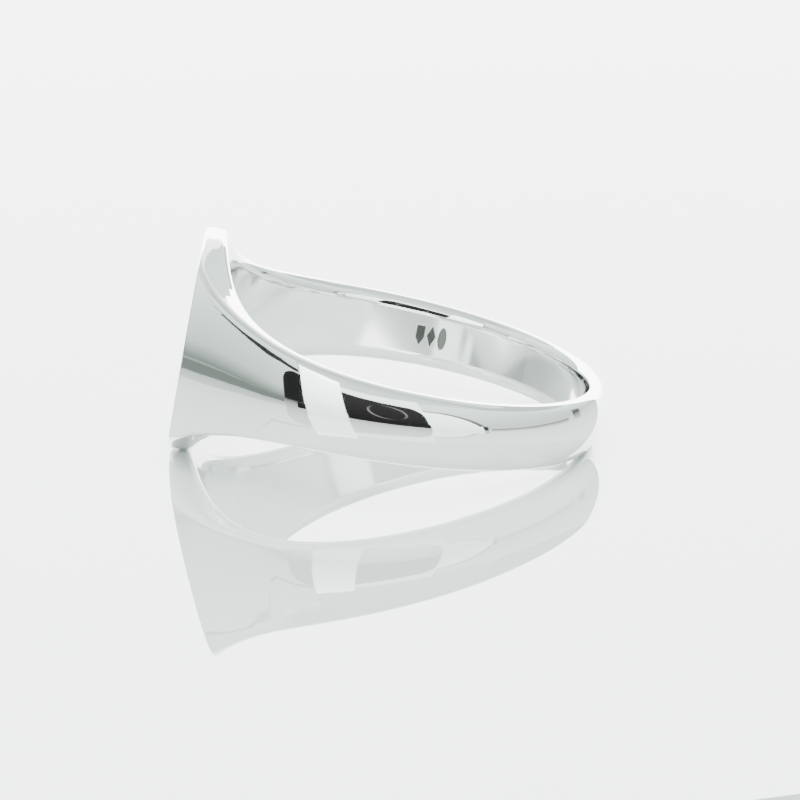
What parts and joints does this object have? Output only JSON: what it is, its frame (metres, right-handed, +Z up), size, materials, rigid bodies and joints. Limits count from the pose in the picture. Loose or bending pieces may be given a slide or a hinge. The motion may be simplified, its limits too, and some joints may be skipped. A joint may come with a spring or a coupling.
{
  "type": "signet ring",
  "caption": "Polished silver signet ring with a blank oval table, flared shoulders and a crowned, tapering comfort-fit band, lying on its side.",
  "frame": {"origin": "centre of the footprint box on the surface that the ring lies on", "axes": "+Z up, the head points to -X, +Y across the finger hole; the ring rests on its side as it settles by itself, so the finger hole's axis leans 11.7 degrees from +Z towards +X"},
  "size_m": [0.0222, 0.0214, 0.0113],
  "materials": {
    "polished_silver": "mirror-polished sterling silver, bright-plated outside, a softer polish inside the finger hole",
    "silver_solder": "hard silver solder filed and polished flush with the metal beside it"
  },
  "bodies": {
    "root": {"seal_plate": "polished_silver", "head": "polished_silver", "shank": "polished_silver", "plate_solder": "silver_solder", "near_shank_solder": "silver_solder", "far_shank_solder": "silver_solder"}
  },
  "joints": []
}
